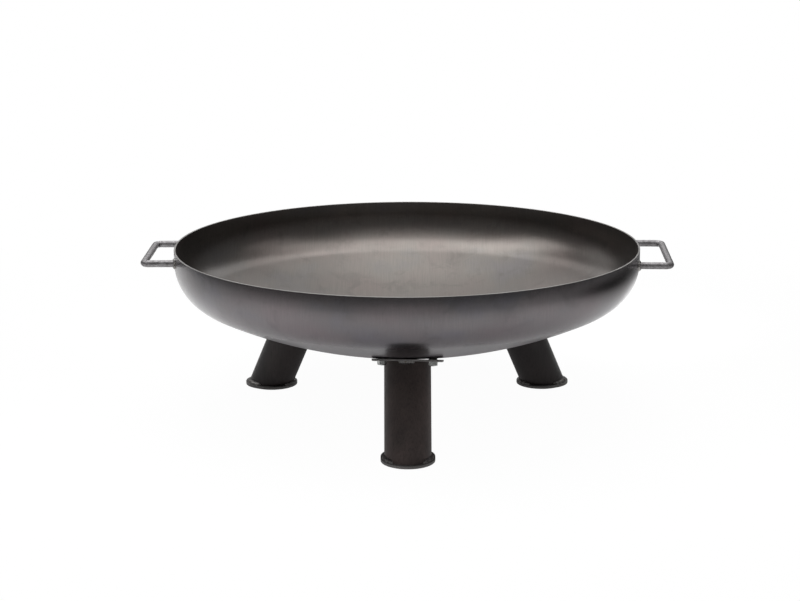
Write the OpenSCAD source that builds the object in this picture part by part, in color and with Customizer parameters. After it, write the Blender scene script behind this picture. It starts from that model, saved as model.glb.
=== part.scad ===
// Round steel fire bowl with two welded handles, bolted onto three slanted tube legs.
// +Z is up. The origin is on the ground, under the centre of the bowl.
// The front leg points towards -Y and the handles lie along X.

/* [Bowl] */
// Outer diameter of the bowl at its rim
bowl_d = 800; // [760:10:840]
// Thickness of the pressed steel
bowl_t = 3; // [2:0.5:5]
// Height of the straight wall below the rim
skirt_h = 22; // [14:1:30]
// Outer radius of the rounded shoulder between the wall and the floor
knuckle_r = 80; // [70:1:90]
// Outer radius of the shallow, domed floor
crown_r = 790; // [740:10:900]
// Height of the rim above the ground
rim_z = 294; // [280:1:330]

/* [Handles] */
// Diameter of the round bar
handle_bar_d = 12; // [8:1:14]
// Distance between the centre lines of a handle's two arms
handle_w = 174; // [120:2:200]
// How far the left handle stands out past the rim, at the middle of its grip
left_reach = 51; // [40:0.5:70]
// How far the right handle stands out past the rim, at the middle of its grip
right_reach = 55; // [40:0.5:70]
// Angle by which the left handle sits askew, with its back corner outwards
left_askew = 1; // [0:0.2:4]
// Angle by which the right handle sits askew, with its back corner outwards
right_askew = 3.2; // [0:0.2:4]
// Depth of the left bar's centre line below the rim, at the middle of its grip
left_drop = 17; // [14:0.2:22]
// Depth of the right bar's centre line below the rim, at the middle of its grip
right_drop = 20.8; // [14:0.2:22]
// Angle by which each grip sits out of level
handle_tilt = 0.8; // [0:0.2:2]
// Bend radius of the bar's centre line
handle_bend_r = 10; // [8:1:16]
// Size of the weld bead round each arm's end
handle_weld = 3; // [2:0.5:4]

/* [Legs] */
// Outer diameter of the leg tube
tube_d = 76.1; // [60:0.1:80]
// Wall thickness of the leg tube
tube_t = 2.9; // [2:0.1:4]
// Outward lean of each leg from the vertical, in degrees
leg_lean = 25.5; // [20:0.5:30]
// Distance from the bowl's axis to where a leg's centre line meets the ground
foot_r = 292; // [270:1:300]
// Thickness of the foot plate
foot_t = 5; // [3:0.5:8]
// How far the foot plate stands out round the tube
foot_margin = 6; // [6:0.5:12]
// Leg length of the weld fillet at both ends of the tube
tube_weld = 5.2; // [2:0.2:5.6]
// Angle that each weld run at the foot covers
foot_run_span = 54; // [30:2:70]
// Angle that each weld run at the flange covers
flange_run_span = 40; // [20:2:60]

/* [Leg mounting] */
// Side length of the square flange plate
flange_w = 115; // [110:1:130]
// Thickness of the flange plate
flange_t = 3; // [3:0.5:6]
// Radius of the flange plate's corners
flange_corner_r = 10; // [4:1:14]
// Distance between neighbouring studs
stud_pitch = 82; // [80:1:88]
// Diameter of the clearance holes in the flange plate
flange_hole_d = 9; // [8.5:0.1:10]
// How far the front flange plate rocks sideways on the dome, in degrees
front_rock = 1.2; // [0:0.1:1.2]

/* [Hidden] */
$fn = 128;
STEEL_BOWL = [0.27, 0.26, 0.26];
STEEL_LEG = [0.14, 0.13, 0.13];
STEEL_BAR = [0.42, 0.42, 0.42];
STEEL_WELD = [0.35, 0.34, 0.32];
ZINC = [0.60, 0.61, 0.60];

LEG_NAMES = ["front", "back_left", "back_right"];
LEG_AZIMUTHS = [-90, 150, 30];
LEG_ROCKS = [front_rock, 0, 0];
SIDE_NAMES = ["left", "right"];
SIDE_AZIMUTHS = [180, 0];
SIDE_REACHES = [left_reach, right_reach];
SIDE_DROPS = [left_drop, right_drop];
SIDE_TURNS = [left_askew, -right_askew];

bowl_r = bowl_d / 2;
tube_r = tube_d / 2;
// Height of the shoulder's centre, and of the dome's centre above it
knuckle_z = rim_z - skirt_h;
dome_z = knuckle_z + sqrt(pow(crown_r - knuckle_r, 2) - pow(bowl_r - knuckle_r, 2));

// A leg's centre line meets the dome at this distance from the ground, along the leg
leg_b = foot_r * sin(leg_lean) + dome_z * cos(leg_lean);
leg_len = leg_b - sqrt(leg_b * leg_b - foot_r * foot_r - dome_z * dome_z + crown_r * crown_r);
mount_r = foot_r - leg_len * sin(leg_lean);
mount_z = leg_len * cos(leg_lean);
// Slope of the dome at the mounting point, and the tube's lean from the flange's normal
mount_slope = asin(mount_r / crown_r);
flange_lean = leg_lean - mount_slope;

// Room between the dome and the middle of the flange plate
flange_gap = 0.2;
flange_z = -flange_gap - flange_t;

// M8 hardware: stud, with the collar of its weld, and hexagon nut
stud_d = 7.9;
stud_tip = 0.6;
stud_chamfer = 0.6;
collar_d = 13;
nut_flats = 13;
nut_bore_d = 8;
nut_h = 6.5;
nut_z = flange_z - nut_h;
stud_end_z = nut_z - stud_tip;
// A height that every stud's root reaches before it is cut to the dome
stud_root_z = 10;

// Steps along a weld run on a leg, and round the bead of a handle's arm
run_steps = 16;
bead_steps = 32;
// Angles of the weld runs round each end of a leg, from the outward side; the rest of the seam is bare
FOOT_RUNS = [-65, 65, 180];
FLANGE_RUNS = [0, 120, 240];
// Half size of the blocks that trim the tubes
big = 500;

// ---- Bowl ----

// Half section of the dish filled up to its rim, inset by t from the outer face
module dish_section(t) {
    corner_x = bowl_r - knuckle_r;
    floor_r = crown_r - t;
    below = 2 * crown_r * [corner_x, knuckle_z - dome_z] / (crown_r - knuckle_r);
    intersection() {
        union() {
            translate([0, knuckle_z])
                square([bowl_r - t, skirt_h]);
            translate([corner_x, knuckle_z])
                circle(r = knuckle_r - t);
            intersection() {
                translate([0, dome_z])
                    circle(r = floor_r);
                translate([0, dome_z])
                    polygon([[0, 0], [0, -2 * crown_r], below]);
            }
        }
        square([bowl_d, rim_z]);
    }
}

module bowl() {
    color(STEEL_BOWL)
        rotate_extrude()
            difference() {
                dish_section(0);
                dish_section(bowl_t);
            }
}

// ---- Handles ----

// Moves children to the middle of one side, at the bar's height, tilted and turned askew
module at_handle(drop, turn) {
    translate([bowl_r, 0, rim_z - drop])
        rotate([handle_tilt, 0, turn])
            children();
}

// The bent bar, with its ends inside the bowl: two arms, two bends and the grip
module bent_bar(reach) {
    half_w = handle_w / 2;
    bend_x = reach - handle_bar_d / 2 - handle_bend_r;
    bend_y = half_w - handle_bend_r;
    for (side = [-1, 1]) {
        translate([-half_w / 2, side * half_w, 0])
            rotate([0, 90, 0])
                cylinder(d = handle_bar_d, h = bend_x + half_w / 2);
        translate([bend_x, side * bend_y, 0])
            rotate([0, 0, side < 0 ? -90 : 0])
                rotate_extrude(angle = 90)
                    translate([handle_bend_r, 0])
                        circle(d = handle_bar_d);
    }
    translate([bend_x + handle_bend_r, -bend_y, 0])
        rotate([-90, 0, 0])
            cylinder(d = handle_bar_d, h = 2 * bend_y);
}

// One handle on the +X side, cut off at the wall
module handle(reach, drop, turn) {
    color(STEEL_BAR)
        difference() {
            at_handle(drop, turn)
                bent_bar(reach);
            cylinder(r = bowl_r, h = rim_z);
        }
}

// Distance from the bowl's axis to its outer wall at height z
function wall_r(z) =
    z >= knuckle_z
        ? bowl_r
        : bowl_r - knuckle_r + sqrt(pow(knuckle_r, 2) - pow(knuckle_z - z, 2));

// Point of the outer wall at angle a and distance d round the centre line of the arm on one side
function wall_point(side, drop, turn, a, d) =
    let (
        arm = side * handle_w / 2,
        along = [cos(turn), sin(turn)],
        across = [-sin(turn), cos(turn)],
        start = [bowl_r, 0] + (arm * cos(handle_tilt) + d * cos(a)) * across,
        z = rim_z - drop + arm * sin(handle_tilt) + d * sin(a),
        step = sqrt(pow(start * along, 2) - start * start + pow(wall_r(z), 2)) - start * along,
        spot = start + step * along
    )
    [spot.x, spot.y, z];

// Section of the bead round an arm's end, from the root, along the arm, and back along the wall
function arm_bead_section(side, drop, turn, a) =
    let (
        root = wall_point(side, drop, turn, a, handle_bar_d / 2),
        toe_up = root + handle_weld * [cos(turn), sin(turn), 0],
        toe_out = wall_point(side, drop, turn, a, handle_bar_d / 2 + handle_weld)
    )
    bead_section(root, toe_up, toe_out);

// The two beads that fix one handle's arms to the wall
module handle_welds(drop, turn) {
    color(STEEL_WELD)
        for (side = [-1, 1])
            swept_bead([
                for (i = [0 : bead_steps - 1])
                    arm_bead_section(side, drop, turn, i * 360 / bead_steps)
            ], true);
}

// ---- Legs, drawn with +X pointing outwards from the bowl's axis ----

// Moves children to the point where the leg's centre line meets the dome, with +Z square to the dome
// apart from the flange plate's sideways rock
module at_mount(rock) {
    translate([mount_r, 0, mount_z])
        rotate([0, -mount_slope, 0])
            rotate([-rock, 0, 0])
                children();
}

module leg_tube(rock) {
    color(STEEL_LEG)
        difference() {
            translate([foot_r, 0, 0])
                rotate([0, -leg_lean, 0])
                    translate([0, 0, -tube_d])
                        difference() {
                            cylinder(d = tube_d, h = leg_len + 2 * tube_d);
                            translate([0, 0, -1])
                                cylinder(d = tube_d - 2 * tube_t, h = leg_len + 2 * tube_d + 2);
                        }
            translate([0, 0, foot_t - big])
                cube(2 * big, center = true);
            at_mount(rock)
                translate([0, 0, flange_z + big])
                    cube(2 * big, center = true);
        }
}

// Puts a child at each of the four studs of the flange plate
module at_studs() {
    for (x = [-1, 1], y = [-1, 1])
        translate([x * stud_pitch / 2, y * stud_pitch / 2, 0])
            children();
}

module leg_flange(rock) {
    corner = flange_w / 2 - flange_corner_r;
    color(STEEL_LEG)
        at_mount(rock)
            translate([0, 0, flange_z])
                linear_extrude(flange_t)
                    difference() {
                        union() {
                            square([flange_w, 2 * corner], center = true);
                            square([2 * corner, flange_w], center = true);
                            for (x = [-corner, corner], y = [-corner, corner])
                                translate([x, y])
                                    circle(r = flange_corner_r);
                        }
                        at_studs()
                            circle(d = flange_hole_d);
                    }
}

// An oval plate round the tube's slanted cut: two half discs with a short straight stretch between
module foot_plate() {
    half_wide = tube_r + foot_margin;
    half_long = tube_r / cos(leg_lean) + foot_margin;
    stretch = half_long - half_wide;
    color(STEEL_LEG)
        translate([foot_r - foot_t * tan(leg_lean), 0, 0])
            linear_extrude(foot_t)
                union() {
                    for (side = [-1, 1])
                        translate([side * stretch, 0])
                            circle(r = half_wide);
                    square([2 * stretch, 2 * half_wide], center = true);
                }
}

// Section of a slightly convex weld bead between its root and its two toes
function bead_section(root, toe_up, toe_out) = [
    root,
    toe_up,
    root + 0.78 * (toe_up - root) + 0.42 * (toe_out - root),
    root + 0.42 * (toe_up - root) + 0.78 * (toe_out - root),
    toe_out
];

// Section of a weld fillet at angle a round a tube that leans by lean towards -X from a flat plate
function fillet_section(a, lean, size) =
    let (
        out = [cos(a) * cos(lean), sin(a), 0],
        root = [tube_r * cos(a) / cos(lean), tube_r * sin(a), 0],
        toe_up = root + size * [-tan(lean), 0, 1],
        toe_out = root + size * out / norm(out)
    )
    bead_section(root, toe_up, toe_out);

// A solid swept through sections that all have the same number of points. It closes on itself as a
// ring, or else it ends at the first and last sections.
module swept_bead(sections, ring) {
    n = len(sections);
    m = len(sections[0]);
    last = ring ? n - 1 : n - 2;
    sides = [
        for (i = [0 : last], j = [0 : m - 1])
            let (
                here = i * m,
                next = ((i + 1) % n) * m,
                k = (j + 1) % m
            )
            each [
                [here + j, next + k, here + k],
                [here + j, next + j, next + k]
            ]
    ];
    caps = ring ? [] : [
        [for (j = [0 : m - 1]) j],
        [for (j = [m - 1 : -1 : 0]) (n - 1) * m + j]
    ];
    polyhedron(points = [for (section = sections) each section], faces = concat(sides, caps));
}

// Short weld runs round a tube's end, one at each of the given angles, thinning towards their ends
module weld_runs(lean, angles, span) {
    color(STEEL_WELD)
        for (middle = angles)
            swept_bead([
                for (i = [0 : run_steps])
                    let (t = i / run_steps)
                    fillet_section(middle + (t - 0.5) * span, lean, tube_weld * (0.4 + 0.6 * sin(180 * t)))
            ], false);
}

module foot_welds() {
    translate([foot_r - foot_t * tan(leg_lean), 0, foot_t])
        weld_runs(leg_lean, FOOT_RUNS, foot_run_span);
}

module leg_flange_welds(rock) {
    at_mount(rock)
        translate([-flange_z * tan(flange_lean), -flange_z * tan(rock), flange_z])
            rotate([180, 0, 0])
                weld_runs(-flange_lean, FLANGE_RUNS, flange_run_span);
}

// ---- Hardware ----

// Studs square to the flange plate, each with the collar of its weld between the plate and the dome
module mounting_studs(rock) {
    color(ZINC)
        difference() {
            at_mount(rock)
                at_studs() {
                    translate([0, 0, stud_end_z])
                        cylinder(d1 = stud_d - 2 * stud_chamfer, d2 = stud_d, h = stud_chamfer);
                    translate([0, 0, stud_end_z + stud_chamfer])
                        cylinder(d = stud_d, h = stud_root_z - stud_end_z - stud_chamfer);
                    translate([0, 0, -flange_gap])
                        cylinder(d = collar_d, h = stud_root_z + flange_gap);
                }
            translate([0, 0, dome_z])
                sphere(r = crown_r, $fn = 360);
        }
}

module stud_nuts(rock) {
    across_corners = nut_flats / cos(30);
    color(ZINC)
        at_mount(rock)
            at_studs()
                translate([0, 0, nut_z])
                    linear_extrude(nut_h)
                        difference() {
                            circle(d = across_corners, $fn = 6);
                            circle(d = nut_bore_d);
                        }
}

// ---- Nodes ----

bowl();

for (i = [0 : len(SIDE_NAMES) - 1])
    rotate([0, 0, SIDE_AZIMUTHS[i]]) {
        side = SIDE_NAMES[i];
        drop = SIDE_DROPS[i];
        turn = SIDE_TURNS[i];
        handle(SIDE_REACHES[i], drop, turn);
        handle_welds(drop, turn);
    }

for (i = [0 : len(LEG_NAMES) - 1])
    rotate([0, 0, LEG_AZIMUTHS[i]]) {
        leg = LEG_NAMES[i];
        rock = LEG_ROCKS[i];
        leg_tube(rock);
        leg_flange(rock);
        leg_flange_welds(rock);
        foot_plate();
        foot_welds();
        mounting_studs(rock);
        stud_nuts(rock);
    }
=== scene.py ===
"""Looks of a round steel fire bowl on three bolted tube legs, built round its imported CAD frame.

Every piece is in metres in the row frame: +Z up, the ground at z = 0, the bowl's axis on Z, the
front leg towards -Y and the handles along X. Each visible piece replaces its CAD node.
"""
import math
import random

import bmesh
import bpy
from mathutils import Matrix, Vector, noise


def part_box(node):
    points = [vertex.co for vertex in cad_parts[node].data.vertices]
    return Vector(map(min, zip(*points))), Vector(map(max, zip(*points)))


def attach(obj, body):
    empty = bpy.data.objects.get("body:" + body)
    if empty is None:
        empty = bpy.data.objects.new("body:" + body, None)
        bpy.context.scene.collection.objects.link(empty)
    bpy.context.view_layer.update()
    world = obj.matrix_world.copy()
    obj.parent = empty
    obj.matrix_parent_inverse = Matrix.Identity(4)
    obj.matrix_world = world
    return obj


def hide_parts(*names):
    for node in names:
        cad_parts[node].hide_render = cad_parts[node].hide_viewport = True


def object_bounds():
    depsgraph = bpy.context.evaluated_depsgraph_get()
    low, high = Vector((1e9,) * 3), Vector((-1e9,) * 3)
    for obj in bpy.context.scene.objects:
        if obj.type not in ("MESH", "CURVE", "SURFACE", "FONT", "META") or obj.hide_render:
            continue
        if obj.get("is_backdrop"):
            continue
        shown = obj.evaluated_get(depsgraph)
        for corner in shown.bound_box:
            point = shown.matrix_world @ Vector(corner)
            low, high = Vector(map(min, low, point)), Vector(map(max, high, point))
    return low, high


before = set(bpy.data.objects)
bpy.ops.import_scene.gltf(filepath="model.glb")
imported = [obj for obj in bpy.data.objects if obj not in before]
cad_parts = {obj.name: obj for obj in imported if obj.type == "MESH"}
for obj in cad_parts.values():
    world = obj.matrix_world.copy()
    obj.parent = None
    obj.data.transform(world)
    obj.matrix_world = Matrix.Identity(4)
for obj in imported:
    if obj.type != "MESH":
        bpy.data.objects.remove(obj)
cad_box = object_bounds()

BODY = "root"
TAU = 2 * math.pi
MM = 0.001

# ---- Sizes, as the CAD has them ----

BOWL_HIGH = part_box("bowl")[1]
RIM_Z = BOWL_HIGH.z
RIM_R = BOWL_HIGH.x
SHEET = 3 * MM
SKIRT = 22 * MM
KNUCKLE_R = 80 * MM
CROWN_R = 790 * MM
KNUCKLE_Z = RIM_Z - SKIRT
RIM_ARRIS = 0.45 * MM
DOME_Z = KNUCKLE_Z + math.sqrt((CROWN_R - KNUCKLE_R) ** 2 - (RIM_R - KNUCKLE_R) ** 2)

BAR_R = 6 * MM
ARM_Y = 87 * MM
BEND_R = 10 * MM
HANDLE_TILT = math.radians(0.8)
HANDLE_BEAD = 3.4 * MM
HANDLE_RIPPLES = 11
BAR_FINE_DENT = 0.16 * MM
BAR_BROAD_DENT = 0.10 * MM
BAR_SUNK = 1.2 * MM
BEAD_ROOT_SUNK = 0.2 * MM
BEAD_TOE_SUNK = 0.1 * MM

TUBE_R = 38.05 * MM
TUBE_WALL = 2.9 * MM
LEG_LEAN = math.radians(25.5)
FOOT_R = 292 * MM
FOOT_T = 5 * MM
FOOT_MARGIN = 6 * MM
FOOT_ARRIS = 0.5 * MM
FOOT_WAVE = 0.12 * MM
LEG_BEAD = 5.2 * MM
LEG_BEAD_SUNK = 0.15 * MM
FOOT_RUNS = (-65, 65, 180)
FOOT_RUN_SPAN = 54
FLANGE_RUNS = (0, 120, 240)
FLANGE_RUN_SPAN = 40
RIPPLE_SPAN = 5.5
RUN_SHIFT = 3

LEG_B = FOOT_R * math.sin(LEG_LEAN) + DOME_Z * math.cos(LEG_LEAN)
LEG_LEN = LEG_B - math.sqrt(LEG_B ** 2 - FOOT_R ** 2 - DOME_Z ** 2 + CROWN_R ** 2)
MOUNT_R = FOOT_R - LEG_LEN * math.sin(LEG_LEAN)
MOUNT_Z = LEG_LEN * math.cos(LEG_LEAN)
MOUNT_SLOPE = math.asin(MOUNT_R / CROWN_R)
FLANGE_LEAN = LEG_LEAN - MOUNT_SLOPE

FLANGE_GAP = 0.2 * MM
FLANGE_T = 3 * MM
FLANGE_W = 115 * MM
FLANGE_CORNER = 10 * MM
FLANGE_ARRIS = 0.35 * MM
FLANGE_HOLE_R = 4.5 * MM
FLANGE_Z = -FLANGE_GAP - FLANGE_T
STUD_HALF_PITCH = 41 * MM
STUD_R = 3.95 * MM
STUD_TIP = 0.6 * MM
STUD_CHAMFER_H = 0.8 * MM
STUD_CHAMFER_IN = 0.9 * MM
STUD_SUNK = 0.25 * MM
COLLAR_R = 6.5 * MM
COLLAR_LUMP = 0.35 * MM
COLLAR_SUNK = 0.15 * MM
THREAD_PITCH = 1.25 * MM
THREAD_DEPTH = 0.55 * MM
NUT_FLATS = 13 * MM
NUT_H = 6.5 * MM
NUT_BORE_R = 4 * MM
NUT_MOUTH = 0.35 * MM
NUT_CHAMFER = math.radians(30)
NUT_FACE_R = NUT_FLATS / 2 * 0.97
NUT_Z = FLANGE_Z - NUT_H
STUD_END_Z = NUT_Z - STUD_TIP

# Each leg's name, its direction in degrees and its flange plate's sideways rock on the dome
LEGS = (("front", -90, 1.2), ("back_left", 150, 0.0), ("back_right", 30, 0.0))
# Each handle's name, its direction in degrees, how far it stands out past the rim, the depth of its
# bar below the rim and the angle in degrees by which it sits askew
SIDES = (("left", 180, 51 * MM, 17 * MM, 1.0), ("right", 0, 55 * MM, 20.8 * MM, -3.2))

# Parts of the bowl's skin, by the index of their material
OUTSIDE, INSIDE, BARE = range(3)
# A stud's collar, by the index of its material: the shaft has the first one, 0
COLLAR = 1

# How finely each curve is divided
BOWL_SIDES = 320
DOME_STEPS = 60
KNUCKLE_STEPS = 28
RIM_ARRIS_STEPS = 3
BAR_SIDES = 28
ARM_STEPS = 20
BEND_STEPS = 12
GRIP_STEPS = 60
HANDLE_BEAD_STEPS = 120
LEG_BEAD_STEPS = 84
TUBE_SIDES = 128
TUBE_STEPS = 24
FOOT_SIDES = 160
HOLE_SIDES = 40
NUT_SIDES = 72
STUD_SIDES = 20
STUD_STEPS_PER_TURN = 6
COLLAR_SIDES = 32

# Edges sharper than these angles, in degrees, are left crisp
SHARP = 32
SHARP_BOWL = 50
SHARP_BAR = 60
SHARP_BEAD = 70
SHARP_HARDWARE = 25

# Seeds of the random draws, to which each leg's number is added
FOOT_BEAD_SEED = 10
FLANGE_BEAD_SEED = 20
NUT_SEED = 40


# ---- Mesh building ----

def new_piece(name, mesh, material, slot_name, *nodes):
    """Puts a mesh in the scene as a piece that stands for CAD nodes."""
    piece = bpy.data.objects.new(name, mesh)
    bpy.context.scene.collection.objects.link(piece)
    materials = material if isinstance(material, (list, tuple)) else [material]
    for one in materials:
        mesh.materials.append(one)
    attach(piece, BODY)
    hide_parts(*nodes)
    return piece


def smooth(mesh, sharp_angle=SHARP):
    """Smooth shading, with edges sharper than an angle in degrees left crisp."""
    mesh.shade_smooth()
    mesh.set_sharp_from_angle(angle=math.radians(sharp_angle))


def mesh_from(name, points, faces):
    """A mesh from lists of points and faces."""
    mesh = bpy.data.meshes.new(name)
    mesh.from_pydata([tuple(p) for p in points], [], faces)
    mesh.validate()
    mesh.update()
    return mesh


class Solid:
    """Collects points and faces for one mesh that may hold several closed solids."""

    def __init__(self):
        self.points = []
        self.faces = []

    def rings(self, rings, start=None, end=None, loop=False, caps=False):
        """Joins rings of equal length with quads.

        The ends close at a pole point, with a cap or in a loop. A ring turns anticlockwise, seen from
        the ring after it, so that the faces point outwards.
        """
        count = len(rings[0])
        base = len(self.points)
        for ring in rings:
            self.points.extend(ring)
        steps = len(rings) if loop else len(rings) - 1
        for i in range(steps):
            here = base + i * count
            there = base + (i + 1) % len(rings) * count
            for j in range(count):
                k = (j + 1) % count
                self.faces.append((here + j, here + k, there + k, there + j))
        last = base + (len(rings) - 1) * count
        if start is not None:
            self.points.append(start)
            pole = len(self.points) - 1
            self.faces.extend((pole, base + (j + 1) % count, base + j) for j in range(count))
        if end is not None:
            self.points.append(end)
            pole = len(self.points) - 1
            self.faces.extend((pole, last + j, last + (j + 1) % count) for j in range(count))
        if caps:
            self.faces.append(tuple(base + j for j in reversed(range(count))))
            self.faces.append(tuple(last + j for j in range(count)))

    def mesh(self, name, place=None, sharp_angle=SHARP):
        """The solids as one smoothly shaded mesh, moved to their place."""
        points = [place @ p for p in self.points] if place else self.points
        mesh = mesh_from(name, points, self.faces)
        smooth(mesh, sharp_angle)
        return mesh


def turned(radius, z, count):
    """A horizontal ring of points round Z."""
    return [
        Vector((radius * math.cos(a), radius * math.sin(a), z))
        for a in (TAU * j / count for j in range(count))
    ]


def arc(centre, radius, start, end, steps):
    """Points of an arc in the (r, z) half plane, from a start angle to an end angle in radians."""
    return [
        (
            centre[0] + radius * math.cos(start + (end - start) * i / steps),
            centre[1] + radius * math.sin(start + (end - start) * i / steps),
        )
        for i in range(steps + 1)
    ]


def leg_frame(azimuth):
    """Turns a leg drawn along +X to its place round the bowl."""
    return Matrix.Rotation(math.radians(azimuth), 4, "Z")


def mount_frame(azimuth, rock):
    """The place where a leg's flange sits: +Z square to the dome, +X outwards."""
    return (
        leg_frame(azimuth)
        @ Matrix.Translation((MOUNT_R, 0, MOUNT_Z))
        @ Matrix.Rotation(-MOUNT_SLOPE, 4, "Y")
        @ Matrix.Rotation(math.radians(-rock), 4, "X")
    )


# ---- Materials ----

def new_material(name):
    """An empty material with a Principled shader."""
    material = bpy.data.materials.new(name)
    material.use_nodes = True
    tree = material.node_tree
    tree.nodes.clear()
    output = tree.nodes.new("ShaderNodeOutputMaterial")
    shader = tree.nodes.new("ShaderNodeBsdfPrincipled")
    tree.links.new(shader.outputs["BSDF"], output.inputs["Surface"])
    return material, tree, shader


class Nodes:
    """Short calls for the node set-ups that the metals share."""

    def __init__(self, tree):
        self.tree = tree
        self.place = tree.nodes.new("ShaderNodeTexCoord").outputs["Object"]

    def scaled(self, scale):
        """Object coordinates, stretched along each axis."""
        node = self.tree.nodes.new("ShaderNodeMapping")
        node.inputs["Scale"].default_value = scale
        self.tree.links.new(self.place, node.inputs["Vector"])
        return node.outputs["Vector"]

    def noise(self, scale, detail=4.0, rough=0.55, place=None, distortion=0.0):
        """Soft noise, from object coordinates unless others are given."""
        node = self.tree.nodes.new("ShaderNodeTexNoise")
        node.inputs["Scale"].default_value = scale
        node.inputs["Detail"].default_value = detail
        node.inputs["Roughness"].default_value = rough
        node.inputs["Distortion"].default_value = distortion
        self.tree.links.new(place or self.place, node.inputs["Vector"])
        return node.outputs["Fac"]

    def cells(self, scale):
        """Distance to the middle of the nearest of many scattered cells."""
        node = self.tree.nodes.new("ShaderNodeTexVoronoi")
        node.inputs["Scale"].default_value = scale
        self.tree.links.new(self.place, node.inputs["Vector"])
        return node.outputs["Distance"]

    def ramp(self, value, stops):
        """Maps a value through (position, colour) stops. A colour may be one grey number."""
        node = self.tree.nodes.new("ShaderNodeValToRGB")
        ramp = node.color_ramp
        while len(ramp.elements) < len(stops):
            ramp.elements.new(0.5)
        for element, (position, colour) in zip(ramp.elements, stops):
            grey = isinstance(colour, (int, float))
            element.position = position
            element.color = (colour, colour, colour, 1) if grey else (*colour, 1)
        self.tree.links.new(value, node.inputs["Fac"])
        return node.outputs["Color"]

    def mix(self, amount, a, b, mode="MIX"):
        """Blends two colours, from a at 0 to b at 1."""
        node = self.tree.nodes.new("ShaderNodeMix")
        node.data_type = "RGBA"
        node.blend_type = mode
        self.feed(node.inputs["Factor"], amount)
        self.feed(node.inputs["A"], a)
        self.feed(node.inputs["B"], b)
        return node.outputs["Result"]

    def math(self, operation, *values):
        """Arithmetic on sockets and numbers."""
        node = self.tree.nodes.new("ShaderNodeMath")
        node.operation = operation
        for socket, value in zip(node.inputs, values):
            self.feed(socket, value)
        return node.outputs["Value"]

    def feed(self, socket, value):
        """Links a socket to another one, or sets it to a number or colour."""
        if isinstance(value, bpy.types.NodeSocket):
            self.tree.links.new(value, socket)
        elif isinstance(value, (tuple, list)):
            needs_alpha = len(value) == 3 and len(socket.default_value) == 4
            socket.default_value = (*value, 1) if needs_alpha else value
        else:
            socket.default_value = value

    def height(self):
        """Height above the ground, in metres."""
        node = self.tree.nodes.new("ShaderNodeSeparateXYZ")
        self.tree.links.new(self.place, node.inputs["Vector"])
        return node.outputs["Z"]

    def near(self, spot, reach):
        """1 at a spot, fading to 0 at a distance."""
        node = self.tree.nodes.new("ShaderNodeVectorMath")
        node.operation = "DISTANCE"
        self.tree.links.new(self.place, node.inputs[0])
        node.inputs[1].default_value = spot
        fade = self.tree.nodes.new("ShaderNodeMapRange")
        fade.interpolation_type = "SMOOTHSTEP"
        fade.inputs["From Min"].default_value = 0.0
        fade.inputs["From Max"].default_value = reach
        fade.inputs["To Min"].default_value = 1.0
        fade.inputs["To Max"].default_value = 0.0
        self.tree.links.new(node.outputs["Value"], fade.inputs["Value"])
        return fade.outputs["Result"]

    def bump(self, height, strength, distance, below=None):
        """A bumped normal, on top of another one if given."""
        node = self.tree.nodes.new("ShaderNodeBump")
        node.inputs["Strength"].default_value = strength
        node.inputs["Distance"].default_value = distance
        self.tree.links.new(height, node.inputs["Height"])
        if below is not None:
            self.tree.links.new(below, node.inputs["Normal"])
        return node.outputs["Normal"]


TINT_HEIGHTS = (0.14, 0.25)
DULL_HEIGHTS = (0.14, 0.21)
OIL_WEIGHT = 0.35
OIL_ROUGHNESS = 0.25


def bowl_steel(name, upper_tint, lower_tint, roughness, dulling, waviness):
    """Pressed sheet steel under a film of oil: satin, with rolling grain along Y, heat tints and stains.

    Its tint goes over from the upper to the lower one down the side of the bowl. Dulling is what is
    added to its roughness at the bottom. Waviness is the strength of its broad dents.
    """
    material, tree, shader = new_material(name)
    n = Nodes(tree)
    grain = n.noise(1.0, 6, 0.62, n.scaled((900, 16, 40)))
    patches = n.noise(4.2, 3, 0.5, distortion=0.4)
    heat = n.noise(7.5, 4, 0.55, n.scaled((1, 0.7, 1.6)))
    stains = n.noise(26, 5, 0.6, distortion=0.6)
    specks = n.cells(260)

    tone = n.ramp(patches, [(0.30, (0.112, 0.107, 0.105)), (0.72, (0.158, 0.151, 0.146))])
    warm = n.ramp(heat, [(0.42, 0.0), (0.64, 0.75)])
    tone = n.mix(warm, tone, (0.150, 0.128, 0.126))
    cool = n.ramp(heat, [(0.32, 0.7), (0.46, 0.0)])
    tone = n.mix(cool, tone, (0.125, 0.122, 0.134))
    tone = n.mix(n.ramp(stains, [(0.54, 0.0), (0.70, 0.50)]), tone, (0.092, 0.086, 0.084))
    tone = n.mix(n.ramp(grain, [(0.35, 0.34), (0.65, 0.0)]), tone, (0.084, 0.080, 0.079))
    tone = n.mix(n.ramp(specks, [(0.02, 0.5), (0.06, 0.0)]), tone, (0.063, 0.059, 0.057))
    height = n.height()
    tint = n.ramp(height, list(zip(TINT_HEIGHTS, (lower_tint, upper_tint))))
    tone = n.mix(1.0, tone, tint, "MULTIPLY")
    tree.links.new(tone, shader.inputs["Base Color"])

    shader.inputs["Metallic"].default_value = 1.0
    rough = n.math("MULTIPLY_ADD", patches, 0.06, roughness)
    rough = n.math("MULTIPLY_ADD", stains, 0.08, rough)
    low_down = n.ramp(height, list(zip(DULL_HEIGHTS, (1.0, 0.0))))
    rough = n.math("MULTIPLY_ADD", low_down, dulling, rough)
    tree.links.new(rough, shader.inputs["Roughness"])

    shader.inputs["Coat Weight"].default_value = OIL_WEIGHT
    shader.inputs["Coat Roughness"].default_value = OIL_ROUGHNESS

    normal = n.bump(patches, waviness, 0.004)
    normal = n.bump(grain, 0.10, 0.0004, normal)
    normal = n.bump(stains, 0.06, 0.0008, normal)
    tree.links.new(normal, shader.inputs["Normal"])
    return material


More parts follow.
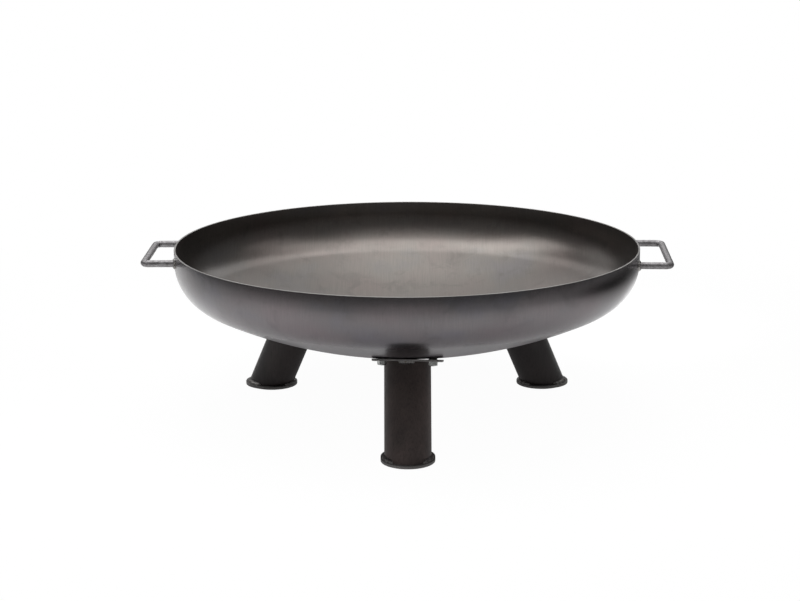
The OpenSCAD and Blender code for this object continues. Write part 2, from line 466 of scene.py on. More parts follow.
def bare_edge_steel():
    """The sheared top edge of the sheet: brighter, with fine cut lines."""
    material, tree, shader = new_material("bare_edge_steel")
    n = Nodes(tree)
    cut = n.noise(700, 3, 0.6)
    wear = n.noise(18, 4, 0.6)
    tone = n.ramp(wear, [(0.35, (0.23, 0.222, 0.214)), (0.65, (0.34, 0.332, 0.324))])
    tone = n.mix(n.ramp(cut, [(0.40, 0.35), (0.60, 0.0)]), tone, (0.14, 0.132, 0.126))
    tree.links.new(tone, shader.inputs["Base Color"])
    shader.inputs["Metallic"].default_value = 1.0
    tree.links.new(n.math("MULTIPLY_ADD", wear, 0.2, 0.35), shader.inputs["Roughness"])
    tree.links.new(n.bump(cut, 0.3, 0.0003), shader.inputs["Normal"])
    return material


def bar_steel():
    """Bare round bar with the mottled remains of its mill scale."""
    material, tree, shader = new_material("bar_steel")
    n = Nodes(tree)
    scale = n.noise(170, 5, 0.68, distortion=0.5)
    broad = n.noise(30, 4, 0.6)
    pits = n.noise(620, 3, 0.6)
    tones = [
        (0.36, (0.17, 0.163, 0.166)),
        (0.50, (0.27, 0.262, 0.267)),
        (0.66, (0.37, 0.361, 0.366)),
    ]
    tone = n.ramp(scale, tones)
    tone = n.mix(n.ramp(broad, [(0.42, 0.0), (0.66, 0.4)]), tone, (0.19, 0.178, 0.178))
    tree.links.new(tone, shader.inputs["Base Color"])
    shader.inputs["Metallic"].default_value = 1.0
    tree.links.new(n.math("MULTIPLY_ADD", scale, 0.20, 0.42), shader.inputs["Roughness"])
    normal = n.bump(scale, 0.25, 0.0005)
    tree.links.new(n.bump(pits, 0.2, 0.0002, normal), shader.inputs["Normal"])
    return material


# Heights between which the legs' painted shade from the bowl fades in, from none below to full above
PAINTED_SHADE_HEIGHTS = (0.03, 0.13)


def scale_steel(name, dark, light, painted_shade_near_bowl=1.0):
    """Hot-rolled steel under oiled black mill scale, with brown patches.

    Its tone is multiplied near the bowl by the last argument, fading to 1 near the ground: painted
    shade from the bowl above.
    """
    material, tree, shader = new_material(name)
    n = Nodes(tree)
    broad = n.noise(9, 4, 0.55, n.scaled((1, 1, 0.5)))
    streak = n.noise(1.0, 5, 0.6, n.scaled((420, 420, 26)))
    flecks = n.noise(240, 4, 0.62)
    tone = n.ramp(broad, [(0.34, dark), (0.68, light)])
    tone = n.mix(n.ramp(flecks, [(0.58, 0.0), (0.72, 0.15)]), tone, tuple(1.6 * c for c in light))
    tone = n.mix(n.ramp(streak, [(0.30, 0.4), (0.52, 0.0)]), tone, tuple(0.6 * c for c in dark))
    # Painted shade: the tone darkens towards the bowl, which shades the legs
    shade = n.ramp(n.height(), list(zip(PAINTED_SHADE_HEIGHTS, (1.0, painted_shade_near_bowl))))
    tone = n.mix(1.0, tone, shade, "MULTIPLY")
    tree.links.new(tone, shader.inputs["Base Color"])
    shader.inputs["Metallic"].default_value = 0.5
    rough = n.math("MULTIPLY_ADD", broad, 0.16, 0.38)
    tree.links.new(n.math("MULTIPLY_ADD", flecks, 0.12, rough), shader.inputs["Roughness"])
    normal = n.bump(flecks, 0.18, 0.0005)
    tree.links.new(n.bump(streak, 0.08, 0.0003, normal), shader.inputs["Normal"])
    return material


def weld_metal(name, shade):
    """Unpolished weld bead, grainy and silvery, with straw and brown heat tints. Shade scales its tones."""
    material, tree, shader = new_material(name)
    n = Nodes(tree)
    blotch = n.noise(150, 5, 0.65, distortion=0.4)
    grit = n.noise(900, 3, 0.6)
    tints = [
        (0.34, (0.10, 0.095, 0.09)),
        (0.47, (0.30, 0.285, 0.27)),
        (0.58, (0.50, 0.49, 0.48)),
        (0.70, (0.30, 0.26, 0.22)),
    ]
    tone = n.ramp(blotch, [(at, tuple(shade * c for c in tint)) for at, tint in tints])
    tree.links.new(tone, shader.inputs["Base Color"])
    shader.inputs["Metallic"].default_value = 0.9
    tree.links.new(n.math("MULTIPLY_ADD", blotch, 0.3, 0.28), shader.inputs["Roughness"])
    normal = n.bump(blotch, 0.3, 0.0008)
    tree.links.new(n.bump(grit, 0.3, 0.0002, normal), shader.inputs["Normal"])
    return material


def zinc_plate():
    """Dull zinc plating with pale blooms."""
    material, tree, shader = new_material("zinc_plate")
    n = Nodes(tree)
    bloom = n.noise(320, 4, 0.6)
    tone = n.ramp(bloom, [(0.38, (0.42, 0.43, 0.42)), (0.66, (0.66, 0.67, 0.66))])
    tree.links.new(tone, shader.inputs["Base Color"])
    shader.inputs["Metallic"].default_value = 1.0
    tree.links.new(n.math("MULTIPLY_ADD", bloom, 0.25, 0.25), shader.inputs["Roughness"])
    tree.links.new(n.bump(bloom, 0.15, 0.0003), shader.inputs["Normal"])
    return material


# ---- Bowl ----

def bowl_profile(inset):
    """(r, z) points of one face of the sheet, from beside the axis up to just below the rim."""
    knuckle = (RIM_R - KNUCKLE_R, KNUCKLE_Z)
    tangent = math.atan2(KNUCKLE_Z - DOME_Z, RIM_R - KNUCKLE_R)
    dome = arc((0, DOME_Z), CROWN_R - inset, -math.pi / 2, tangent, DOME_STEPS)[1:]
    shoulder = arc(knuckle, KNUCKLE_R - inset, tangent, 0, KNUCKLE_STEPS)[1:]
    return dome + shoulder


def bowl_shell(materials):
    """The dish as one closed skin, with softened arrises at its sheared rim."""
    edge = RIM_ARRIS
    rim = arc((RIM_R - edge, RIM_Z - edge), edge, 0, math.pi / 2, RIM_ARRIS_STEPS)
    inner = (RIM_R - SHEET + edge, RIM_Z - edge)
    rim += arc(inner, edge, math.pi / 2, math.pi, RIM_ARRIS_STEPS)
    profile = bowl_profile(0) + rim + bowl_profile(SHEET)[::-1]
    solid = Solid()
    solid.rings(
        [turned(r, z, BOWL_SIDES) for r, z in profile],
        start=Vector((0, 0, DOME_Z - CROWN_R)),
        end=Vector((0, 0, DOME_Z - CROWN_R + SHEET)),
    )
    mesh = solid.mesh("bowl_shell", sharp_angle=SHARP_BOWL)
    top_from = RIM_Z - 0.6 * edge
    for polygon in mesh.polygons:
        across = Vector((polygon.center.x, polygon.center.y, polygon.center.z - DOME_Z))
        if polygon.center.z > top_from:
            polygon.material_index = BARE
        elif polygon.normal.dot(across) < 0:
            polygon.material_index = INSIDE
        else:
            polygon.material_index = OUTSIDE
    return new_piece("bowl_shell", mesh, materials, "bowl_steel", "bowl")


# ---- Handles ----

def handle_frame(azimuth, drop, turn):
    """The middle of one side of the rim, at a handle's height: +X outwards, tilted and turned askew."""
    return (
        leg_frame(azimuth)
        @ Matrix.Translation((RIM_R, 0, RIM_Z - drop))
        @ Matrix.Rotation(math.radians(turn), 4, "Z")
        @ Matrix.Rotation(HANDLE_TILT, 4, "X")
    )


def wall_radius(z):
    """Distance from the bowl's axis to its outer wall at a height."""
    if z >= KNUCKLE_Z:
        return RIM_R
    return RIM_R - KNUCKLE_R + math.sqrt(KNUCKLE_R ** 2 - (KNUCKLE_Z - z) ** 2)


def wall_point(y, z, drop, turn):
    """Where the line along X through (y, z) meets the outer wall, in a handle's own frame."""
    askew = math.radians(turn)
    across = y * math.cos(HANDLE_TILT) - z * math.sin(HANDLE_TILT)
    up = y * math.sin(HANDLE_TILT) + z * math.cos(HANDLE_TILT)
    start = Vector((RIM_R - across * math.sin(askew), across * math.cos(askew)))
    back = start.dot(Vector((math.cos(askew), math.sin(askew))))
    wall = wall_radius(RIM_Z - drop + up)
    return Vector((math.sqrt(back ** 2 - start.length_squared + wall ** 2) - back, y, z))


def handle_path(reach):
    """Points and directions along a handle's centre line, from one arm's root round to the other's."""
    bend_x = reach - BAR_R - BEND_R
    bend_y = ARM_Y - BEND_R
    path = []
    for i in range(ARM_STEPS):
        path.append((Vector((bend_x * i / ARM_STEPS, -ARM_Y, 0)), Vector((1, 0, 0))))
    for i in range(BEND_STEPS):
        a = math.pi / 2 * i / BEND_STEPS
        at = Vector((bend_x + BEND_R * math.sin(a), -bend_y - BEND_R * math.cos(a), 0))
        path.append((at, Vector((math.cos(a), math.sin(a), 0))))
    arm_and_bend = path[:]
    for i in range(GRIP_STEPS + 1):
        y = -bend_y + 2 * bend_y * i / GRIP_STEPS
        path.append((Vector((bend_x + BEND_R, y, 0)), Vector((0, 1, 0))))
    mirrored = [
        (Vector((p.x, -p.y, 0)), Vector((-d.x, d.y, 0)))
        for p, d in reversed(arm_and_bend)
    ]
    return path + mirrored


def bar_dent(spot):
    """How far the bar's surface lies out from its true round at a spot: 0 or less."""
    fine = BAR_FINE_DENT * (noise.noise(spot * 190) - 0.4)
    broad = BAR_BROAD_DENT * (noise.noise(spot * 60) - 0.4)
    return min(fine + broad, 0)


def handle_bar(side, place, reach, drop, turn, material):
    """A bent round bar with a slightly uneven surface, whose ends follow the wall inside the sheet."""
    sunk = Vector((BAR_SUNK, 0, 0))
    rings = []
    for middle, along in handle_path(reach):
        side_on = Vector((-along.y, along.x, 0))
        ring = []
        for j in range(BAR_SIDES):
            a = TAU * j / BAR_SIDES
            across = side_on * math.cos(a) + Vector((0, 0, 1)) * math.sin(a)
            spot = middle + across * BAR_R
            ring.append(spot + across * bar_dent(spot))
        rings.append(ring)
    ends = [
        [wall_point(p.y, p.z, drop, turn) - sunk for p in ring]
        for ring in (rings[0], rings[-1])
    ]
    solid = Solid()
    solid.rings([ends[0], *rings, ends[1]], caps=True)
    mesh = solid.mesh(f"handle_bar_{side}", place, SHARP_BAR)
    return new_piece(f"handle_bar_{side}", mesh, material, "handle_bar", f"handle_{side}")


def bead_section(root, toe_up, toe_out, bulge, count=8):
    """A weld bead's section: its two legs meet at the root, and its face swells between the toes."""
    section = [root]
    for i in range(count + 1):
        t = i / count
        flat = toe_up.lerp(toe_out, t)
        swell = (flat - root).normalized() * bulge * math.sin(math.pi * t)
        section.append(flat + swell)
    return section


def ripple(t, pitch_count, depth):
    """Height of a bead's overlapping scallops, with t going from 0 to 1 along it."""
    return 1 - depth * abs(math.cos(math.pi * pitch_count * t))


def handle_welds(side, place, drop, turn, material):
    """A rippled bead round each arm's end, heavier below the arm."""
    steps = HANDLE_BEAD_STEPS
    solid = Solid()
    for arm in (-1, 1):
        sections = []
        for i in range(steps):
            a = TAU * i / steps
            lump = noise.noise(Vector((math.cos(a), math.sin(a), arm + turn)) * 2.2)
            heavy = 1 + 0.25 * max(0, -math.sin(a))
            size = HANDLE_BEAD * ripple(i / steps, HANDLE_RIPPLES, 0.16) * (1 + 0.18 * lump) * heavy

            def at(distance):
                """The wall's point at a distance from the arm's axis."""
                y = arm * ARM_Y + distance * math.cos(a)
                return wall_point(y, distance * math.sin(a), drop, turn)

            root = at(BAR_R - BEAD_ROOT_SUNK) - Vector((BEAD_ROOT_SUNK, 0, 0))
            toe_up = at(BAR_R - BEAD_TOE_SUNK) + Vector((size, 0, 0))
            toe_out = at(BAR_R + size) - Vector((BEAD_TOE_SUNK, 0, 0))
            sections.append(bead_section(root, toe_up, toe_out, 0.2 * size))
        solid.rings(sections, loop=True)
    mesh = solid.mesh(f"handle_beads_{side}", place, SHARP_BEAD)
    return new_piece(f"handle_beads_{side}", mesh, material, "weld_bead", f"handle_welds_{side}")


# ---- Legs, drawn with +X outwards from the bowl's axis ----

def tube_rings(radius, azimuth, rock):
    """Rings of one face of a tube, from the foot plate up to the flange plate."""
    axis = Vector((-math.sin(LEG_LEAN), 0, math.cos(LEG_LEAN)))
    side = Vector((0, 1, 0))
    out = side.cross(axis)
    mount = leg_frame(-azimuth) @ mount_frame(azimuth, rock)
    plate_normal = (mount.to_3x3() @ Vector((0, 0, 1))).normalized()
    plate_point = mount @ Vector((0, 0, FLANGE_Z))
    foot = Vector((FOOT_R, 0, 0))
    rings = []
    for i in range(TUBE_STEPS + 1):
        ring = []
        for j in range(TUBE_SIDES):
            a = TAU * j / TUBE_SIDES
            line = foot + (out * math.cos(a) + side * math.sin(a)) * radius
            low = (FOOT_T - line.z) / axis.z
            high = (plate_point - line).dot(plate_normal) / axis.dot(plate_normal)
            ring.append(line + axis * (low + (high - low) * i / TUBE_STEPS))
        rings.append(ring)
    return rings


def leg_tube(leg, azimuth, rock, material):
    """A leg's tube, open at both ends, which the foot plate and the flange plate close."""
    outside = tube_rings(TUBE_R, azimuth, rock)
    inside = tube_rings(TUBE_R - TUBE_WALL, azimuth, rock)
    solid = Solid()
    solid.rings(outside + inside[::-1], loop=True)
    mesh = solid.mesh(f"tube_{leg}", leg_frame(azimuth))
    return new_piece(f"tube_{leg}", mesh, material, "leg_steel", f"leg_tube_{leg}")


def oval_point(angle, grow):
    """A point of the foot plate's outline: two half discs a little apart, joined by straight sides."""
    radius = TUBE_R + FOOT_MARGIN
    stretch = TUBE_R / math.cos(LEG_LEAN) - TUBE_R
    side = math.copysign(stretch, math.cos(angle))
    return side + (radius + grow) * math.cos(angle), (radius + grow) * math.sin(angle)


def foot_plate(leg, azimuth, material):
    """An oval plate with softened arrises and a slightly wavy flame-cut edge."""
    edge = FOOT_ARRIS
    middle_x = FOOT_R - FOOT_T * math.tan(LEG_LEAN)
    levels = [(-edge, 0), (-0.3 * edge, 0.3 * edge), (0, edge)]
    levels += [(0, FOOT_T * t) for t in (0.3, 0.5, 0.7)]
    levels += [(0, FOOT_T - edge), (-0.3 * edge, FOOT_T - 0.3 * edge), (-edge, FOOT_T)]
    rings = []
    for inset, z in levels:
        ring = []
        for j in range(FOOT_SIDES):
            a = TAU * (j + 0.5) / FOOT_SIDES
            wave = FOOT_WAVE * (noise.noise(Vector((math.cos(a), math.sin(a), azimuth)) * 9) - 1)
            x, y = oval_point(a, inset + wave)
            ring.append(Vector((middle_x + x, y, z)))
        rings.append(ring)
    solid = Solid()
    solid.rings(rings, start=Vector((middle_x, 0, 0)), end=Vector((middle_x, 0, FOOT_T)))
    mesh = solid.mesh(f"foot_disc_{leg}", leg_frame(azimuth))
    return new_piece(f"foot_disc_{leg}", mesh, material, "plate_steel", f"foot_plate_{leg}")


def fillet(angle, lean, size):
    """Root, upper toe and outer toe of a weld fillet round a tube that leans towards -X."""
    out = Vector((math.cos(angle) * math.cos(lean), math.sin(angle), 0)).normalized()
    root = Vector((TUBE_R * math.cos(angle) / math.cos(lean), TUBE_R * math.sin(angle), 0))
    toe_up = root + Vector((-math.tan(lean), 0, 1)) * size
    toe_out = root + out * size
    sink = LEG_BEAD_SUNK
    return root - out * sink, toe_up - out * sink, toe_out - Vector((0, 0, sink))


def weld_runs(name, place, lean, angles, span, material, slot_name, node, seed):
    """Short rippled weld runs that round off at both ends."""
    steps = LEG_BEAD_STEPS
    dice = random.Random(seed)
    solid = Solid()
    for middle in angles:
        start = middle + dice.uniform(-RUN_SHIFT, RUN_SHIFT) - span / 2
        sections = []
        for i in range(steps + 1):
            t = i / steps
            ends = (1 - (2 * t - 1) ** 6) ** 0.5
            lump = noise.noise(Vector((t * 7, middle, seed)))
            size = LEG_BEAD * (0.12 + 0.88 * ends) * ripple(t, span / RIPPLE_SPAN, 0.15)
            size = size * (1 + 0.16 * lump)
            angle = math.radians(start + span * t)
            root, toe_up, toe_out = fillet(angle, lean, size)
            sections.append(bead_section(root, toe_up, toe_out, 0.22 * size))
        solid.rings(sections, caps=True)
    mesh = solid.mesh(name, place, SHARP_BEAD)
    return new_piece(name, mesh, material, slot_name, node)


def foot_beads(leg, azimuth, material, seed):
    """The weld runs between a tube and its foot plate."""
    middle_x = FOOT_R - FOOT_T * math.tan(LEG_LEAN)
    place = leg_frame(azimuth) @ Matrix.Translation((middle_x, 0, FOOT_T))
    return weld_runs(
        f"foot_beads_{leg}", place, LEG_LEAN, FOOT_RUNS, FOOT_RUN_SPAN, material,
        "weld_bead", f"foot_welds_{leg}", seed,
    )


def flange_beads(leg, azimuth, rock, material, seed):
    """The weld runs between a tube and the underside of its flange plate."""
    sideways = math.tan(math.radians(rock))
    shift = (-FLANGE_Z * math.tan(FLANGE_LEAN), -FLANGE_Z * sideways, FLANGE_Z)
    flip = Matrix.Rotation(math.pi, 4, "X")
    place = mount_frame(azimuth, rock) @ Matrix.Translation(shift) @ flip
    return weld_runs(
        f"flange_beads_{leg}", place, -FLANGE_LEAN, FLANGE_RUNS, FLANGE_RUN_SPAN, material,
        "weld_bead", f"leg_flange_welds_{leg}", seed,
    )


def rounded_square(half, corner, steps=10):
    """Outline of a square with rounded corners, anticlockwise."""
    outline = []
    for quarter in range(4):
        turn = quarter * math.pi / 2
        cx, cy = Matrix.Rotation(turn, 2) @ Vector((half - corner, half - corner))
        for i in range(steps + 1):
            a = turn + math.pi / 2 * i / steps
            outline.append((cx + corner * math.cos(a), cy + corner * math.sin(a)))
    return outline


def add_outline(curve, outline):
    """Adds a closed outline of straight stretches to a flat curve."""
    spline = curve.splines.new("POLY")
    spline.points.add(len(outline) - 1)
    for point, (x, y) in zip(spline.points, outline):
        point.co = (x, y, 0, 1)
    spline.use_cyclic_u = True


def plate_mesh(name, outlines, thickness, arris):
    """A flat plate with holes and softened arrises, from z = 0 up to its thickness."""
    curve = bpy.data.curves.new(name, "CURVE")
    curve.dimensions = "2D"
    curve.fill_mode = "BOTH"
    for outline in outlines:
        add_outline(curve, outline)
    curve.extrude = thickness / 2 - arris
    curve.bevel_depth = arris
    curve.bevel_resolution = 2
    curve.offset = -arris
    maker = bpy.data.objects.new(name, curve)
    bpy.context.scene.collection.objects.link(maker)
    depsgraph = bpy.context.evaluated_depsgraph_get()
    mesh = bpy.data.meshes.new_from_object(maker.evaluated_get(depsgraph))
    bpy.data.objects.remove(maker)
    bpy.data.curves.remove(curve)
    return mesh


def flange_plate(leg, azimuth, rock, material):
    """A square plate with rounded corners and four bolt holes."""
    hole = turned(FLANGE_HOLE_R, 0, HOLE_SIDES)
    holes = [
        [(x * STUD_HALF_PITCH + p.x, y * STUD_HALF_PITCH + p.y) for p in hole]
        for x in (-1, 1)
        for y in (-1, 1)
    ]
    square = rounded_square(FLANGE_W / 2, FLANGE_CORNER)
    mesh = plate_mesh(f"flange_plate_{leg}", [square, *holes], FLANGE_T, FLANGE_ARRIS)
    place = mount_frame(azimuth, rock) @ Matrix.Translation((0, 0, FLANGE_Z + FLANGE_T / 2))
    work = bmesh.new()
    work.from_mesh(mesh)
    bmesh.ops.remove_doubles(work, verts=work.verts, dist=0.01 * MM)
    bmesh.ops.recalc_face_normals(work, faces=work.faces)
    bmesh.ops.transform(work, matrix=place, verts=work.verts)
    work.to_mesh(mesh)
    work.free()
    smooth(mesh)
    mesh.materials.clear()
    return new_piece(f"flange_plate_{leg}", mesh, material, "plate_steel", f"leg_flange_{leg}")


# ---- Hardware ----

def at_studs(leg_index):
    """Each stud's place in the flange's frame, with the turn its nut came to rest at."""
    dice = random.Random(NUT_SEED + leg_index)
    for x in (-1, 1):
        for y in (-1, 1):
            spot = Matrix.Translation((x * STUD_HALF_PITCH, y * STUD_HALF_PITCH, 0))
            yield spot, Matrix.Rotation(math.radians(dice.uniform(0, 60)), 4, "Z")


def placed(rings, place):
    """Rings moved by a matrix."""
    return [[place @ p for p in ring] for ring in rings]


def nut_rings():
    """A hexagon nut with both faces chamfered to a circle, as a loop of rings."""
    slope = math.tan(NUT_CHAMFER)
    low = NUT_Z
    high = NUT_Z + NUT_H

    def hexagon(angle):
        """Distance from the axis to the nut's flats at an angle."""
        within = (angle + math.pi / 6) % (math.pi / 3) - math.pi / 6
        return NUT_FLATS / 2 / math.cos(within)

    def ring(radius_at, z_at):
        """A ring whose radius comes from its angle, and its height from its radius."""
        points = []
        for j in range(NUT_SIDES):
            a = TAU * j / NUT_SIDES
            r = radius_at(a)
            points.append(Vector((r * math.cos(a), r * math.sin(a), z_at(r))))
        return points

    return [
        ring(lambda a: NUT_BORE_R + NUT_MOUTH, lambda r: low),
        ring(lambda a: NUT_FACE_R, lambda r: low),
        ring(hexagon, lambda r: low + (r - NUT_FACE_R) * slope),
        ring(hexagon, lambda r: high - (r - NUT_FACE_R) * slope),
        ring(lambda a: NUT_FACE_R, lambda r: high),
        ring(lambda a: NUT_BORE_R + NUT_MOUTH, lambda r: high),
        ring(lambda a: NUT_BORE_R, lambda r: high - NUT_MOUTH),
        ring(lambda a: NUT_BORE_R, lambda r: low + NUT_MOUTH),
    ]


def stud_rings(top):
    """A threaded stud from its chamfered tip up to its root."""
    count = STUD_SIDES
    steps = round((top - STUD_END_Z) / (THREAD_PITCH / STUD_STEPS_PER_TURN))
    rings = []
    for i in range(steps + 1):
        z = STUD_END_Z + (top - STUD_END_Z) * i / steps
        tip = min(1.0, (z - STUD_END_Z) / STUD_CHAMFER_H)
        ring = []
        for j in range(count):
            a = TAU * j / count
            phase = (z / THREAD_PITCH - j / count) % 1.0
            r = STUD_R - THREAD_DEPTH * abs(2 * phase - 1)
            r = min(r, STUD_R - STUD_CHAMFER_IN * (1 - tip))
            ring.append(Vector((r * math.cos(a), r * math.sin(a), z)))
        rings.append(ring)
    return rings


def stud_root(place):
    """Height at which a stud placed in the flange's frame meets the dome."""
    dome = Vector((0, 0, DOME_Z))
    foot = place @ Vector((0, 0, 0))
    up = (place.to_3x3() @ Vector((0, 0, 1))).normalized()
    along = (dome - foot).dot(up)
    return along - math.sqrt(CROWN_R ** 2 - (dome - foot).length_squared + along ** 2)


def collar_rings(root_at):
    """The squashed flash of a stud's weld, from the flange plate up to the dome."""
    count = COLLAR_SIDES
    low = -FLANGE_GAP
    rings = [turned(0.6 * STUD_R, low, count)]
    for grow, rise in ((-0.25, 0.0), (0.0, 0.25), (-0.05, 0.6), (0.05, 1.0)):
        ring = []
        for j in range(count):
            a = TAU * j / count
            lump = noise.noise(Vector((math.cos(a) * 2, math.sin(a) * 2, rise))) * COLLAR_LUMP
            r = COLLAR_R + grow * MM - abs(lump)
            x = r * math.cos(a)
            y = r * math.sin(a)
            top = root_at(x, y) + COLLAR_SUNK
            ring.append(Vector((x, y, low + (top - low) * rise)))
        rings.append(ring)
    return rings


def fasteners(index, leg, azimuth, rock, zinc, weld):
    """A leg's four studs with their weld collars, and its four nuts."""
    studs = Solid()
    nuts = Solid()
    collars_from = []
    collars_to = []
    mount = mount_frame(azimuth, rock)
    for spot, turn in at_studs(index):
        place = mount @ spot

        def root_at(x, y):
            """Height of the dome above a spot beside this stud's axis."""
            return stud_root(place @ Matrix.Translation((x, y, 0)))

        top = root_at(0, 0) + STUD_SUNK
        shaft = placed(stud_rings(top), place)
        tip_middle = place @ Vector((0, 0, STUD_END_Z))
        top_middle = place @ Vector((0, 0, top))
        studs.rings(shaft, start=tip_middle, end=top_middle)
        collars_from.append(len(studs.faces))
        collar = placed(collar_rings(root_at), place)
        studs.rings(collar, start=place @ Vector((0, 0, -FLANGE_GAP)), end=top_middle)
        collars_to.append(len(studs.faces))
        nuts.rings(placed(nut_rings(), place @ turn), loop=True)
    stud_mesh = studs.mesh(f"threaded_studs_{leg}", sharp_angle=SHARP_HARDWARE)
    for first, after in zip(collars_from, collars_to):
        for polygon in stud_mesh.polygons[first:after]:
            polygon.material_index = COLLAR
    new_piece(
        f"threaded_studs_{leg}", stud_mesh, [zinc, weld],
        "fastener_steel", f"mounting_studs_{leg}",
    )
    nut_mesh = nuts.mesh(f"hex_nuts_{leg}", sharp_angle=SHARP_HARDWARE)
    new_piece(f"hex_nuts_{leg}", nut_mesh, zinc, "fastener_steel", f"stud_nuts_{leg}")


# ---- Stage, lights and camera ----

# Most light strengths here started as numbers made by another program. Most light strengths here started
# as numbers fitted by least squares: the strengths at which test renders, one for each light, came
# nearest to the photo's tones. Those of top_front_box, front_box and back_left_box are still as fitted.
# Those of the other lights were changed afterwards, guided by the same renders and by tones read from
# the photo. top_right_box was added afterwards. ROOM_GLOW and three of the pools (the first, third and
# fourth) also started from the fit and were changed afterwards.

# Each pool of light on the floor: its middle, its reach and its strength
FLOOR_POOLS = (
    ((0, -0.35, 0), 1.1, 0.46),
    ((0, -1.6, 0), 0.8, 0.20),
    ((-0.9, -0.6, 0), 0.95, 0.27),
    ((0.8, -0.45, 0), 0.75, 0.24),
    ((0.45, 0.62, 0), 0.45, 1.20),
    ((-0.45, 0.62, 0), 0.45, 0.35),
)
# Each patch of painted shade in the floor's colour: its middle, its reach and its depth. The last is the
# bowl's shadow, painted under it.
FLOOR_SHADES = (
    ((1.45, 0.05, 0), 1.0, 0.9),
    ((1.5, 1.2, 0), 1.5, 1.0),
    ((0.0, 0.2, 0), 0.45, 0.65),
)
ROOM_GLOW = 0.165
WHITE_FROM = 1.7
SHADOW_SHOWN = 0.04
FLOOR_GREY = 0.85
FLOOR_HALF = 8.0
FLOOR_DROP = 0.2 * MM
LIGHT_AIM_Z = 0.2

SENSOR_WIDTH = 36
LENS = 74.82
CAMERA_X = -0.0097
CAMERA_Y = -2.819
CAMERA_RISE = 0.585
CAMERA_DOWN = 13.70
CAMERA_ROLL = 0.20


def floor_material():
    """A matt floor with glowing pools and darker shades, which are there for the steel to reflect.

    To the camera it is nearly plain white: at most a small share of the floor itself shows, which
    leaves a faint soft shadow near the object and none away from it.
    """
    material = bpy.data.materials.new("floor")
    material.use_nodes = True
    tree = material.node_tree
    tree.nodes.clear()
    n = Nodes(tree)
    matt = tree.nodes.new("ShaderNodeBsdfDiffuse")
    shade = 0.0
    for middle, reach, depth in FLOOR_SHADES:
        shade = n.math("MULTIPLY_ADD", n.near(middle, reach), depth, shade)
    n.feed(matt.inputs["Color"], n.ramp(shade, [(0.0, FLOOR_GREY), (1.0, 0.0)]))
    glow = tree.nodes.new("ShaderNodeEmission")
    strength = 0.0
    for middle, reach, peak in FLOOR_POOLS:
        strength = n.math("MULTIPLY_ADD", n.near(middle, reach), peak, strength)
    n.feed(glow.inputs["Strength"], strength)
    lit = tree.nodes.new("ShaderNodeAddShader")
    tree.links.new(matt.outputs["BSDF"], lit.inputs[0])
    tree.links.new(glow.outputs["Emission"], lit.inputs[1])

    white = tree.nodes.new("ShaderNodeEmission")
    near = n.near((0, 0, 0), WHITE_FROM)
    seen = tree.nodes.new("ShaderNodeLightPath").outputs["Is Camera Ray"]
    whitening = n.math("SUBTRACT", 1.0, n.math("MULTIPLY", near, SHADOW_SHOWN))
    blend = tree.nodes.new("ShaderNodeMixShader")
    n.feed(blend.inputs["Fac"], n.math("MULTIPLY", whitening, seen))
    tree.links.new(lit.outputs["Shader"], blend.inputs[1])
    tree.links.new(white.outputs["Emission"], blend.inputs[2])
    output = tree.nodes.new("ShaderNodeOutputMaterial")
    tree.links.new(blend.outputs["Shader"], output.inputs["Surface"])
    return material


def build_stage():
    """The floor, just below the ground so that the foot plates' undersides stay clear of it."""
    corners = [
        (x * FLOOR_HALF, y * FLOOR_HALF, -FLOOR_DROP)
        for x, y in ((-1, -1), (1, -1), (1, 1), (-1, 1))
    ]
    mesh = mesh_from("floor", corners, [(0, 1, 2, 3)])
    floor = bpy.data.objects.new("floor", mesh)
    bpy.context.scene.collection.objects.link(floor)
    mesh.materials.append(floor_material())
    floor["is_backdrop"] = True


def build_world():
    """White to the camera, and a dim room in reflections."""
    world = bpy.data.worlds.new("studio")
    bpy.context.scene.world = world
    world.use_nodes = True
    tree = world.node_tree
    tree.nodes.clear()
    background = tree.nodes.new("ShaderNodeBackground")
    background.inputs["Color"].default_value = (1, 1, 1, 1)
    seen = tree.nodes.new("ShaderNodeLightPath").outputs["Is Camera Ray"]
    strength = tree.nodes.new("ShaderNodeMapRange")
    strength.inputs["To Min"].default_value = ROOM_GLOW
    tree.links.new(seen, strength.inputs["Value"])
    tree.links.new(strength.outputs["Result"], background.inputs["Strength"])
    output = tree.nodes.new("ShaderNodeOutputWorld")
    tree.links.new(background.outputs["Background"], output.inputs["Surface"])


def soft_box(name, spot, width, height, power):
    """A rectangular area light that faces the bowl."""
    light = bpy.data.lights.new(name, "AREA")
    light.shape = "RECTANGLE"
    light.size = width
    light.size_y = height
    light.energy = power
    lamp = bpy.data.objects.new(name, light)
    bpy.context.scene.collection.objects.link(lamp)
    lamp.location = spot
    facing = Vector((0, 0, LIGHT_AIM_Z)) - Vector(spot)
    lamp.rotation_euler = facing.to_track_quat("-Z", "Y").to_euler()


def build_lights():
    """Large soft boxes above and around the bowl. See above for where their strengths come from."""
    soft_box("top_box", (0, 0, 2.2), 1.2, 0.9, 7.2)
    soft_box("top_wide_box", (0, 0.2, 2.2), 3.0, 1.0, 8.0)
    soft_box("top_back_box", (0, 0.9, 2.3), 1.4, 0.8, 8.9)
    soft_box("top_front_box", (0, -0.7, 2.3), 2.0, 0.8, 4.2)
    soft_box("top_left_box", (-0.9, 0.3, 2.2), 1.0, 0.8, 6.4)
    soft_box("top_right_box", (0.9, 0.3, 2.2), 1.0, 0.8, 1.4)
    soft_box("back_box", (0, 1.4, 2.1), 2.4, 1.0, 10.6)
    soft_box("low_back_box", (0, 2.2, 1.5), 2.4, 0.8, 8.5)
    soft_box("front_box", (0, -1.4, 2.1), 2.4, 1.0, 3.2)
    soft_box("left_box", (-1.6, 0.2, 1.8), 1.0, 1.0, 8.5)
    soft_box("right_box", (1.6, 0.2, 1.8), 1.0, 1.0, 2.4)
    soft_box("back_left_box", (-1.7, 1.7, 1.2), 1.2, 0.8, 1.9)


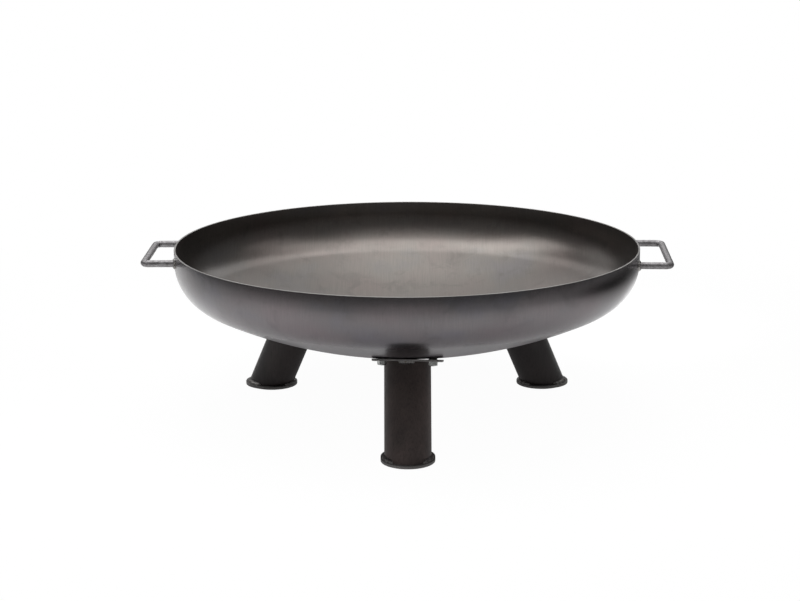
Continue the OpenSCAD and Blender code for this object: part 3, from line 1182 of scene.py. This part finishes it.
def build_camera():
    """The camera at the photo's place. Its place, angles and lens were fitted to the photo beforehand."""
    data = bpy.data.cameras.new("camera")
    data.sensor_width = SENSOR_WIDTH
    data.lens = LENS
    camera = bpy.data.objects.new("camera", data)
    bpy.context.scene.collection.objects.link(camera)
    camera.location = (CAMERA_X, CAMERA_Y, RIM_Z + CAMERA_RISE)
    camera.rotation_euler = (math.radians(90 - CAMERA_DOWN), math.radians(CAMERA_ROLL), 0)
    bpy.context.scene.camera = camera


# ---- Build ----

outside_steel = bowl_steel(
    "bowl_outside_steel", upper_tint=(1.0, 0.98, 1.04), lower_tint=(1.05, 0.975, 1.13),
    roughness=0.175, dulling=0.26, waviness=0.12,
)
inside_steel = bowl_steel(
    "bowl_inside_steel", upper_tint=(1.04, 1.0, 0.95), lower_tint=(1.03, 1.0, 0.93),
    roughness=0.27, dulling=0.03, waviness=0.06,
)
bare = bare_edge_steel()
bar = bar_steel()
# The last number of each tube steel is its painted shade near the bowl
tube_steel = scale_steel("tube_steel", (0.050, 0.041, 0.040), (0.135, 0.102, 0.094), 0.5)
# The back tubes get the tube steel at about a third of its tone: painted shade under the bowl
back_tube_painted_shade_steel = scale_steel("back_tube_painted_shade_steel", (0.018, 0.015, 0.015), (0.045, 0.036, 0.035), 0.6)
plate_steel = scale_steel("plate_steel", (0.100, 0.096, 0.094), (0.220, 0.211, 0.207))
weld = weld_metal("weld_metal", 0.95)
foot_weld = weld_metal("foot_weld_metal", 0.5)
# The welds under the flanges and the studs' collars get the weld metal darkened: painted shade under the
# bowl
painted_shade_weld = weld_metal("dark_weld_metal", 0.26)
zinc = zinc_plate()

bowl_shell([outside_steel, inside_steel, bare])
for side, azimuth, reach, drop, turn in SIDES:
    place = handle_frame(azimuth, drop, turn)
    handle_bar(side, place, reach, drop, turn, bar)
    handle_welds(side, place, drop, turn, weld)
for index, (leg, azimuth, rock) in enumerate(LEGS):
    leg_tube(leg, azimuth, rock, tube_steel if leg == "front" else back_tube_painted_shade_steel)
    foot_plate(leg, azimuth, plate_steel)
    flange_plate(leg, azimuth, rock, plate_steel)
    foot_beads(leg, azimuth, foot_weld, FOOT_BEAD_SEED + index)
    flange_beads(leg, azimuth, rock, painted_shade_weld, FLANGE_BEAD_SEED + index)
    fasteners(index, leg, azimuth, rock, zinc, painted_shade_weld)

build_stage()
build_world()
build_lights()
build_camera()
bpy.context.scene.view_settings.view_transform = "Standard"

visual_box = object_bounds()
boxes = {"cad": cad_box, "visual": visual_box}
{name: [list(corner) for corner in box] for name, box in boxes.items()}
